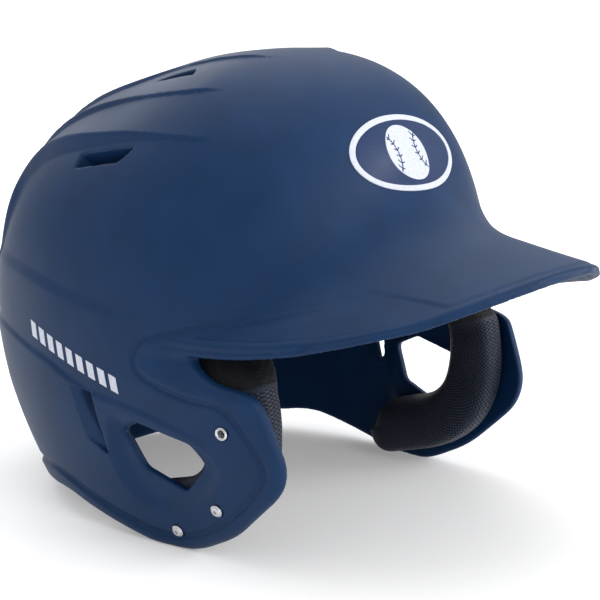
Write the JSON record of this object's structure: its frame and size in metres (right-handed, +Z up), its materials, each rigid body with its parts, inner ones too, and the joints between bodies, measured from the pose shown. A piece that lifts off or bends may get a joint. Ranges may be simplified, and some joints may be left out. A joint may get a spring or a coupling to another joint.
{
  "type": "batting helmet",
  "caption": "Batting helmet with a long brim and two ear flaps, vented shell, foam liner, padded jaw flaps and threaded inserts for a faceguard.",
  "frame": {"origin": "centre of the overall box at table height, with the helmet standing on its two flaps and the rear rim", "axes": "+X to the wearer's left, +Y to the back of the helmet with the brim towards -Y, +Z up from the table"},
  "size_m": [0.2202, 0.3118, 0.2162],
  "materials": {
    "shell": "matte navy, fine moulded texture",
    "badge": "satin white and silver decal",
    "trim": "satin white print",
    "liner_foam": "matte black closed-cell foam",
    "comfort_pad": "smooth black knit over soft foam",
    "mesh_cover": "black open-weave sports mesh",
    "hardware": "bright nickel plate"
  },
  "bodies": {
    "root": {"outer_shell": "shell", "front_badge": "badge", "rear_liner": "liner_foam", "front_liner": "liner_foam", "left_liner": "liner_foam", "right_liner": "liner_foam", "crown_liner": "liner_foam", "forehead_pad": "comfort_pad", "rear_pad_left": "comfort_pad", "rear_pad_centre": "comfort_pad", "rear_pad_right": "comfort_pad", "crown_pad": "comfort_pad", "temple_pad_left": "comfort_pad", "temple_pad_right": "comfort_pad", "left_upper_insert": "hardware", "left_lower_front_insert": "hardware", "left_lower_rear_insert": "hardware", "left_lower_front_screw": "hardware", "left_lower_rear_screw": "hardware", "jaw_foam_left": "liner_foam", "jaw_cover_left": "mesh_cover", "side_accent_left": "trim", "right_upper_insert": "hardware", "right_lower_front_insert": "hardware", "right_lower_rear_insert": "hardware", "right_lower_front_screw": "hardware", "right_lower_rear_screw": "hardware", "jaw_foam_right": "liner_foam", "jaw_cover_right": "mesh_cover", "side_accent_right": "trim"}
  },
  "joints": []
}
